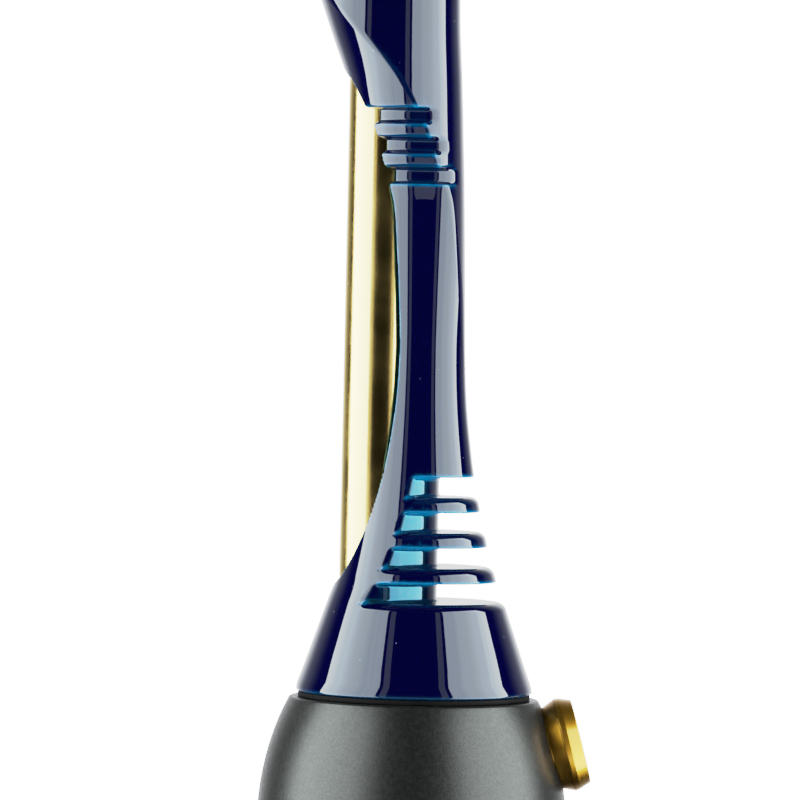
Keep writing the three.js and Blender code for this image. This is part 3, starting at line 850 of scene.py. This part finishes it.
class STEMSET_OT_sleeve(bpy.types.Operator):
    """Sculpted sleeve with its slots, fins, ribs and open tube channel"""

    bl_idname = "stemset.sleeve"
    bl_label = "Sleeve"

    def execute(self, context):
        settings = context.scene.stem_set.mesh
        bm = bmesh.new()
        bm.from_mesh(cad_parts["sleeve"].data)
        bmesh.ops.remove_doubles(bm, verts=bm.verts, dist=1e-7)
        piece = mesh_object("sleeve_finished", bm, "blue_lacquer")
        cells = piece.modifiers.new("Cells", "REMESH")
        cells.mode = "VOXEL"
        cells.voxel_size = settings.sleeve_cell * 1.0
        bake_modifiers(piece)
        settle_on_surface(piece.data, 2)
        triangles = sum(len(face.vertices) - 2 for face in piece.data.polygons)
        if triangles > settings.sleeve_triangles:
            thin_plain_faces(piece, settings.sleeve_triangles / triangles)
        mesh = piece.data
        p = settle_on_surface(mesh, 4)
        normal = distance_normal(p)
        # a painted cyan reflection on the slots' walls, where they turn away from the front and the back but
        # not right to the side
        recess = np.clip((sleeve_distance(p)[1] + 0.35) / 0.3, 0, 1) * (p[:, 2] < RIB_BOTTOM)
        facing = np.abs(normal[:, 1])
        recess *= np.clip((facing - 0.56) / 0.08, 0, 1) * np.clip((0.97 - facing) / 0.04, 0, 1)
        # thin lacquer and painted cyan edge highlight
        add_point_values(mesh, "thin_paint_and_highlight", spread_over_edges(mesh, thinness_and_painted_highlight(p, normal), 2))
        # painted cyan reflection on the slots' walls
        add_point_values(mesh, "recess", spread_over_edges(mesh, recess, 3))
        mesh.shade_smooth()
        mesh.normals_split_custom_set_from_vertices(normal)
        stand_for(piece, "sleeve", "stem")
        return {"FINISHED"}


class STEMSET_OT_base(bpy.types.Operator):
    """Bell-shaped base cup with its gasket, vase seal and key pin"""

    bl_idname = "stemset.base"
    bl_label = "Base Cup"

    def execute(self, context):
        segments = context.scene.stem_set.mesh.segments
        heights = np.linspace(CUP_WALL_TOP, CUP_TOP, 28)
        dome = [(CUP_R * math.sqrt(1 - ((z - CUP_WALL_TOP) / CUP_DOME_H) ** 2), z) for z in heights]
        outline = [
            (0, CHAMBER_TOP), (CHAMBER_R, CHAMBER_TOP), (CHAMBER_R, SOCKET_TOP), (SOCKET_R, SOCKET_TOP),
            (SOCKET_R, 0), (CUP_R, 0), *dome, (0, CUP_TOP),
        ]
        bm = soften(turned(outline, segments), 0.5, 4)
        cup = finished("base_cup", "stem", bm, "blasted_black")
        cut(cup, [
            disc(TUBE_THREAD_R + GAP, CHAMBER_TOP - 1, CUP_TOP + 1, 64, STEM_X),
            disc(PURGE_BODY_R + 0.2, CHAMBER_TOP - 1, CUP_TOP + 1, 48, PURGE_X),
            move(disc(PIN_R + 0.2, CUP_TOP - 5, CUP_TOP + 1, 24), 0, PIN_Y),
            lay_on_port(disc(PORT_POCKET_R, PORT_POCKET_DEPTH, 12, 96)),
            lay_on_port(disc(PORT_STEM_R + 0.2, PORT_STEM_END - 1, PORT_POCKET_DEPTH + 1, 48)),
        ])
        even_normals(cup)
        gasket = ring(CAVITY_BOTTOM_R - 0.5, 31.1, CUP_TOP + SEAM, SLEEVE_BOTTOM - SEAM)
        turned_piece("base_gasket", "stem", gasket, 0, "black_silicone", 0.3, segments)
        turned_piece("vase_seal", "stem", [
            (SEAL_R, 1.4), (27.4, 0.4), (SOCKET_R - GAP, 0.4), (SOCKET_R - GAP, SOCKET_TOP - SEAM),
            (SEAL_R, SOCKET_TOP - SEAM), (SEAL_R, 8.6), (26.8, 7.4), (26.8, 5.6), (SEAL_R, 4.4),
        ], 0, "black_silicone", 0.4, 96, 3)
        pin = soften(disc(PIN_R, CUP_TOP - 4.7, SLEEVE_BOTTOM + 2.7, 32), 0.2)
        finished("sleeve_key_pin", "stem", move(pin, 0, PIN_Y), "brushed_steel")
        return {"FINISHED"}


class STEMSET_OT_tube(bpy.types.Operator):
    """Gold smoke tube with its washer and lock nut"""

    bl_idname = "stemset.tube"
    bl_label = "Smoke Tube"

    def execute(self, context):
        shoulder = CUP_TOP + 1
        socket_r = DOWNSTEM_R + 0.4
        turned_piece("main_tube", "stem", [
            (socket_r, TUBE_BOTTOM), (TUBE_THREAD_R, TUBE_BOTTOM), (TUBE_THREAD_R, shoulder),
            (TUBE_R, shoulder), (TUBE_R, TUBE_TOP), (TUBE_BORE_R, TUBE_TOP),
            (TUBE_BORE_R, DOWNSTEM_TOP + 1), (socket_r, DOWNSTEM_TOP + 1),
        ], STEM_X, "tube_gold", 0.3, 128)
        washer = ring(TUBE_THREAD_R + 0.2, NUT_R, CUP_TOP + SEAM, shoulder - SEAM)
        turned_piece("tube_washer", "stem", washer, STEM_X, "brushed_steel", 0.1)
        body = soften(turned(ring(TUBE_THREAD_R + GAP, NUT_R, NUT_BOTTOM, CHAMBER_TOP - SEAM), 64), 0.3)
        nut = finished("tube_nut", "stem", body, "brushed_steel")
        cut(nut, boxes_round_axis(4, math.pi / 4, math.pi / 2, (3.2, 3, 8), (NUT_R, 0, NUT_BOTTOM)))
        even_normals(set_on_axis(nut, STEM_X))
        return {"FINISHED"}


class STEMSET_OT_port(bpy.types.Operator):
    """Hose port: fitting, ring, gasket and O-ring on their tilted axis"""

    bl_idname = "stemset.port"
    bl_label = "Hose Port"

    def execute(self, context):
        gasket = ring(PORT_STEM_R + 0.2, 10.6, PORT_POCKET_DEPTH + SEAM, PORT_FLANGE_BACK - SEAM)
        port_piece("port_gasket", gasket, "black_silicone", 0.15)
        rim = PORT_RING_BACK - 0.03
        port_piece("port_fitting", [
            (PORT_BORE_R, PORT_STEM_END), (PORT_STEM_R, PORT_STEM_END), (PORT_STEM_R, PORT_FLANGE_BACK),
            (PORT_FLANGE_R, PORT_FLANGE_BACK), (PORT_FLANGE_R, -5.4), (12.5, rim), (PORT_SPIGOT_R, rim),
            (PORT_SPIGOT_R, 0.9), (PORT_SOCKET_R, 0.9), (PORT_SOCKET_R, -1.2), (8.75, -1.2), (8.75, -2.8),
            (PORT_SOCKET_R, -2.8), (PORT_SOCKET_R, -6), (PORT_BORE_R, -8),
        ], "port_gold", 0.12)
        port_piece("port_ring", [
            (PORT_SPIGOT_R + 0.2, PORT_RING_BACK), (12.6, PORT_RING_BACK), (PORT_RING_R, -1.6), (12.48, -0.3),
            (11.4, 2.65), (11, PORT_RING_FRONT), (8.8, PORT_RING_FRONT), (PORT_SOCKET_R, 2.2),
            (PORT_SOCKET_R, 1.1), (PORT_SPIGOT_R + 0.2, 1.1),
        ], "port_gold", 0.12)
        o_ring("port_o_ring", "stem", 8.05, -2, 0.6, on_port=True)
        return {"FINISHED"}


def port_piece(node, outline, finish, edge):
    bm = lay_on_port(soften(turned(outline, 128), edge, 2, 6.0))
    return even_normals(finished(node, "stem", bm, finish))


class STEMSET_OT_purge(bpy.types.Operator):
    """Purge valve under the skirt: seat, ball and cage"""

    bl_idname = "stemset.purge"
    bl_label = "Purge Valve"

    def execute(self, context):
        turned_piece("purge_seat", "stem", [
            (PURGE_BORE_R, 33), (PURGE_BODY_R, 33), (PURGE_BODY_R, CUP_TOP + SEAM),
            (PURGE_FLANGE_R, CUP_TOP + SEAM), (PURGE_FLANGE_R, PURGE_FLANGE_TOP), (3.4, PURGE_FLANGE_TOP),
            (PURGE_BORE_R, 41.6),
        ], PURGE_X, "tube_gold", 0.15, 48)
        ball = bmesh.new()
        bmesh.ops.create_icosphere(ball, subdivisions=4, radius=BALL_R * MM)
        finished("purge_ball", "purge_ball", move(ball, PURGE_X, 0, BALL_Z), "brushed_steel")
        foot = PURGE_FLANGE_TOP + SEAM
        body = turned([
            (0, CAGE_TOP - 1.4), (CAGE_BORE_R, CAGE_TOP - 1.4), (CAGE_BORE_R, foot), (CAGE_R, foot),
            (CAGE_R, CAGE_TOP - 0.8), (6, CAGE_TOP), (0, CAGE_TOP),
        ], 64)
        cage = finished("purge_cage", "stem", body, "tube_gold")
        cut(cage, boxes_round_axis(2, 0, math.pi / 2, (16, 3, 4), (0, 0, 47)))
        set_on_axis(cage, PURGE_X)
        return {"FINISHED"}


class STEMSET_OT_tray(bpy.types.Operator):
    """Tray with the ring that it lies on"""

    bl_idname = "stemset.tray"
    bl_label = "Tray"

    def execute(self, context):
        segments = context.scene.stem_set.mesh.segments
        bed = ring(COLLAR_SPIGOT_R + 0.2, 18.4, COLLAR_SHOULDER + SEAM, TRAY_BOTTOM - SEAM)
        turned_piece("tray_ring", "stem", bed, STEM_X, "black_silicone", 0.2)
        outline = rounded([
            (TRAY_HOLE_R, TRAY_BOTTOM, 0.4), (TRAY_R - 9, TRAY_BOTTOM, 7), (TRAY_R, TRAY_BOTTOM + 9, 0.8),
            (TRAY_R - 2, TRAY_BOTTOM + 9.5, 0.6), (TRAY_R - 10, TRAY_BOTTOM + 2, 5),
            (TRAY_HOLE_R, TRAY_BOTTOM + 2, 0.4),
        ])
        turned_piece("tray", "tray", outline, STEM_X, "satin_black", 0, segments + 64)
        return {"FINISHED"}


def rounded(corners, steps=7):
    """An outline of (radius, height, fillet) corners with each fillet drawn as an arc."""
    out = []
    for i, (r, z, fillet) in enumerate(corners):
        corner = Vector((r, z))
        before = (Vector(corners[i - 1][:2]) - corner).normalized()
        after = (Vector(corners[(i + 1) % len(corners)][:2]) - corner).normalized()
        half = before.angle(after) / 2
        centre = corner + (before + after).normalized() * fillet / math.sin(half)
        start = corner + before * fillet / math.tan(half) - centre
        end = corner + after * fillet / math.tan(half) - centre
        turn = math.atan2(start.x * end.y - start.y * end.x, start.dot(end))
        for k in range(steps + 1):
            spoke = Matrix.Rotation(turn * k / steps, 2) @ start
            out.append(tuple(centre + spoke))
    return out


class STEMSET_OT_top(bpy.types.Operator):
    """Top collar and its washer, bowl seat with O-rings and grommet"""

    bl_idname = "stemset.top"
    bl_label = "Collar and Bowl Seat"

    def execute(self, context):
        washer_top = SLEEVE_TOP + 1.2
        washer = ring(10.4, 18.2, SLEEVE_TOP + SEAM, washer_top)
        turned_piece("collar_washer", "stem", washer, STEM_X, "black_silicone", 0.2)
        turned_piece("top_collar", "stem", [
            (TUBE_R + GAP, washer_top + SEAM), (COLLAR_R, washer_top + SEAM), (COLLAR_R, COLLAR_SHOULDER),
            (COLLAR_SPIGOT_R, COLLAR_SHOULDER), (COLLAR_SPIGOT_R, COLLAR_TOP), (SEAT_BORE_R, COLLAR_TOP),
            (SEAT_BORE_R, TUBE_TOP + GAP), (TUBE_R + GAP, TUBE_TOP + GAP),
        ], STEM_X, "tube_gold", 0.5, 128, 4)
        flange = COLLAR_TOP + 0.2
        spigot_r = 8.8
        heights = (258.6, 261.2)
        turned_piece("bowl_seat", "bowl_seat", [
            (TUBE_BORE_R, TUBE_TOP + 0.8), (spigot_r, TUBE_TOP + 0.8), *grooved(spigot_r, 0.9, 0.6, heights),
            (spigot_r, flange), (13.4, flange), (13.4, flange + 2.2), (9.5, flange + 2.2), (8.2, SEAT_TOP),
            (TUBE_BORE_R, SEAT_TOP),
        ], STEM_X, "tube_gold", 0.2, 128, 3)
        for i, z in enumerate(heights):
            o_ring(f"seat_o_ring_{i + 1}", "bowl_seat", 8.42, z, 0.48)
        turned_piece("bowl_grommet", "bowl_seat", [
            (9.75, flange + 2.3), (13.2, flange + 2.3), (12.6, flange + 7), (11, SEAT_TOP - 3),
            (8.7, SEAT_TOP - 3),
        ], STEM_X, "black_silicone", 0.7, 96, 4)
        return {"FINISHED"}


def grooved(spigot_r, depth, half_width, heights):
    """Outline of a spigot from bottom to top with one square groove at each height."""
    points = []
    for z in heights:
        points += [(spigot_r, z - half_width), (spigot_r - depth, z - half_width)]
        points += [(spigot_r - depth, z + half_width), (spigot_r, z + half_width)]
    return points


class STEMSET_OT_downstem(bpy.types.Operator):
    """Downstem with O-rings, and its diffuser"""

    bl_idname = "stemset.downstem"
    bl_label = "Downstem"

    def execute(self, context):
        heights = (26.5, 31.0)
        turned_piece("downstem", "downstem", [
            (DOWNSTEM_BORE_R, DOWNSTEM_END), (DOWNSTEM_R, DOWNSTEM_END), (DOWNSTEM_R, 19.6),
            (TUBE_THREAD_R, 19.6), (TUBE_THREAD_R, TUBE_BOTTOM - GAP), (DOWNSTEM_R, TUBE_BOTTOM - GAP),
            *grooved(DOWNSTEM_R, 0.8, 0.75, heights), (DOWNSTEM_R, DOWNSTEM_TOP),
            (DOWNSTEM_BORE_R, DOWNSTEM_TOP),
        ], STEM_X, "brushed_steel", 0.2, 96)
        for i, z in enumerate(heights):
            o_ring(f"downstem_o_ring_{i + 1}", "downstem", 6.8, z, 0.54)
        stop = DOWNSTEM_END - GAP
        body = turned([
            (0, DIFFUSER_END), (DIFFUSER_R - 1.5, DIFFUSER_END), (DIFFUSER_R, DIFFUSER_END + 1.5),
            (DIFFUSER_R, DIFFUSER_TOP), (DOWNSTEM_R + GAP, DIFFUSER_TOP), (DOWNSTEM_R + GAP, stop),
            (DOWNSTEM_BORE_R, stop), (DOWNSTEM_BORE_R, DIFFUSER_END + 2), (0, DIFFUSER_END + 2),
        ], 96)
        soften(body, 0.6, 4)
        diffuser = finished("diffuser", "diffuser", body, "black_silicone")
        slit = (4 * DIFFUSER_R, 1.6, 8)
        cut(diffuser, boxes_round_axis(3, 0, math.pi / 3, slit, (0, 0, DIFFUSER_END + 7)))
        set_on_axis(diffuser, STEM_X)
        return {"FINISHED"}


class STEMSET_OT_stage(bpy.types.Operator):
    """Pale floor, soft studio light and the camera"""

    bl_idname = "stemset.stage"
    bl_label = "Stage"

    def execute(self, context):
        studio = context.scene.stem_set.studio
        make_world(context.scene)
        make_floor()
        for side, end in ((-1, "left"), (1, "right")):
            for name, azimuth, distance, size, share, dims in SIDE_LIGHTS:
                radiance = studio.softbox_radiance * share
                softbox(f"{name}_{end}", side * azimuth, distance, size, radiance, -side if dims else 0)
        table = softbox("table_glow", 0.0, 0.75, (0.75, 0.7), studio.softbox_radiance * 0.13, height=-0.2)
        table.rotation_euler = (math.pi, 0, 0)
        make_camera(context.scene, studio)
        make_film_response(context.scene)
        return {"FINISHED"}


def make_film_response(scene):
    """Keeps dark and middle tones as they are and holds back the brightest, as camera film does."""
    view = scene.view_settings
    view.view_transform = "Standard"
    view.use_curve_mapping = True
    mapping = view.curve_mapping
    mapping.white_level = (FILM_WHITE,) * 3
    curve = mapping.curves[3]
    curve.points[1].location = (1.0, 1.0)
    for x, y in FILM_CURVE:
        curve.points.new(x / FILM_WHITE, y)
    mapping.update()


def make_world(scene):
    """White to the camera; to everything else a dark room that brightens towards the white wall behind."""
    world = bpy.data.worlds.new("studio_room")
    scene.world = world
    world.use_nodes = True
    nodes = NodeTree(world.node_tree)
    room = world.node_tree.nodes["Background"]
    backwards = nodes.split(nodes.add("ShaderNodeTexCoord").outputs["Generated"])["Y"]
    side_wall = nodes.ramp(backwards, 0.38, 0.78, 0.004, 0.42)
    back_wall = nodes.ramp(backwards, 0.72, 0.97, 0.0, 1.1)
    nodes.link(nodes.math("ADD", side_wall, back_wall), room.inputs["Strength"])
    room.inputs["Color"].default_value = (0.95, 0.97, 1.0, 1.0)
    white = nodes.add("ShaderNodeBackground")
    white.inputs["Color"].default_value = (1.0, 1.0, 1.0, 1.0)
    white.inputs["Strength"].default_value = FILM_WHITE
    path = nodes.add("ShaderNodeLightPath")
    mix = nodes.add("ShaderNodeMixShader")
    nodes.link(path.outputs["Is Camera Ray"], mix.inputs[0])
    nodes.link(room.outputs[0], mix.inputs[1])
    nodes.link(white.outputs[0], mix.inputs[2])
    nodes.link(mix.outputs[0], world.node_tree.nodes["World Output"].inputs["Surface"])


def make_floor():
    bm = bmesh.new()
    bmesh.ops.create_circle(bm, cap_ends=True, segments=96, radius=1.6)
    move(bm, 0, 0, CAD_BOX[0].z / MM - DOWNWARD_TRAVEL)
    nodes, shader = new_material("studio_floor", Roughness=0.6)
    tone = nodes.noise(object_vector(nodes), 3.0)
    nodes.link(nodes.mix_colour(tone, (0.86, 0.86, 0.86), (0.9, 0.9, 0.9)), shader.inputs["Base Color"])
    floor = mesh_object("floor", bm, "studio_floor")
    floor.visible_glossy = False


def softbox(name, azimuth, distance, size, radiance, fall_off=0, height=0.14):
    """An upright area light facing the stem; azimuth 0 is the camera's side, 90 the hose port's.

    A fall-off of 1 or -1 dims the light towards one of its upright edges.
    """
    light = bpy.data.lights.new(name, "AREA")
    light.shape = "RECTANGLE"
    light.size, light.size_y = size
    light.energy = radiance * math.pi * size[0] * size[1]
    lamp = bpy.data.objects.new(name, light)
    bpy.context.scene.collection.objects.link(lamp)
    angle = math.radians(azimuth)
    lamp.location = (distance * math.sin(angle), -distance * math.cos(angle), height)
    lamp.rotation_euler = (math.pi / 2, 0, angle)
    lamp.visible_camera = False
    if fall_off:
        shade_softbox(light, fall_off)
    return lamp


def shade_softbox(light, fall_off):
    """Dims a softbox towards one edge and gives it the faint upright streaks of its fabric."""
    light.use_nodes = True
    nodes = NodeTree(light.node_tree)
    emission = light.node_tree.nodes["Emission"]
    across = nodes.split(nodes.add("ShaderNodeNewGeometry").outputs["Parametric"])["X"]
    ramp = nodes.ramp(across, 0.0, 1.0, 1.0 + 0.25 * fall_off, 1.0 - 0.25 * fall_off)
    streaks = nodes.ramp(nodes.noise(across, 5.0, space="1D"), 0.3, 0.7, 0.92, 1.08)
    nodes.link(nodes.math("MULTIPLY", ramp, streaks), emission.inputs["Strength"])
    nodes.link(nodes.mix_colour(ramp, (0.92, 0.9, 1.0), (0.96, 1.0, 1.0)), emission.inputs["Color"])


def make_camera(scene, studio):
    camera = bpy.data.cameras.new("camera")
    camera.sensor_width = 36.0
    camera.lens = studio.lens
    camera.clip_end = 100.0
    holder = bpy.data.objects.new("camera", camera)
    scene.collection.objects.link(holder)
    scene.camera = holder
    holder.location = (studio.aim_x, -studio.camera_distance, studio.eye_height)
    aim = Vector((studio.aim_x, 0.0, studio.aim_z)) - holder.location
    holder.rotation_mode = "QUATERNION"
    level = aim.to_track_quat("-Z", "Y")
    holder.rotation_quaternion = level @ Matrix.Rotation(studio.roll, 3, "Z").to_quaternion()


class STEMSET_PT_panel(bpy.types.Panel):
    """Lists the steps that build the stem set"""

    bl_idname = "STEMSET_PT_panel"
    bl_label = "Water-Pipe Stem Set"
    bl_space_type = "VIEW_3D"
    bl_region_type = "UI"
    bl_category = "Stem Set"

    def draw(self, context):
        settings = context.scene.stem_set
        for group in (settings.lacquer, settings.metal, settings.mesh, settings.studio):
            box = self.layout.box()
            for name in group.bl_rna.properties.keys():
                if name not in ("rna_type", "name"):
                    box.prop(group, name)
        for step in STEPS:
            self.layout.operator(step.bl_idname)


STEPS = (
    STEMSET_OT_materials, STEMSET_OT_sleeve, STEMSET_OT_base, STEMSET_OT_tube, STEMSET_OT_port,
    STEMSET_OT_purge, STEMSET_OT_tray, STEMSET_OT_top, STEMSET_OT_downstem, STEMSET_OT_stage,
)
SETTINGS = (StemLacquerSettings, StemMetalSettings, StemMeshSettings, StemStudioSettings, StemSettings)


def register():
    for cls in (*SETTINGS, *STEPS, STEMSET_PT_panel):
        bpy.utils.register_class(cls)
    bpy.types.Scene.stem_set = bpy.props.PointerProperty(type=StemSettings)


def unregister():
    del bpy.types.Scene.stem_set
    for cls in reversed((*SETTINGS, *STEPS, STEMSET_PT_panel)):
        bpy.utils.unregister_class(cls)


def main():
    register()
    for step in STEPS:
        area, name = step.bl_idname.split(".")
        getattr(getattr(bpy.ops, area), name)()


if __name__ == "__main__":
    main()
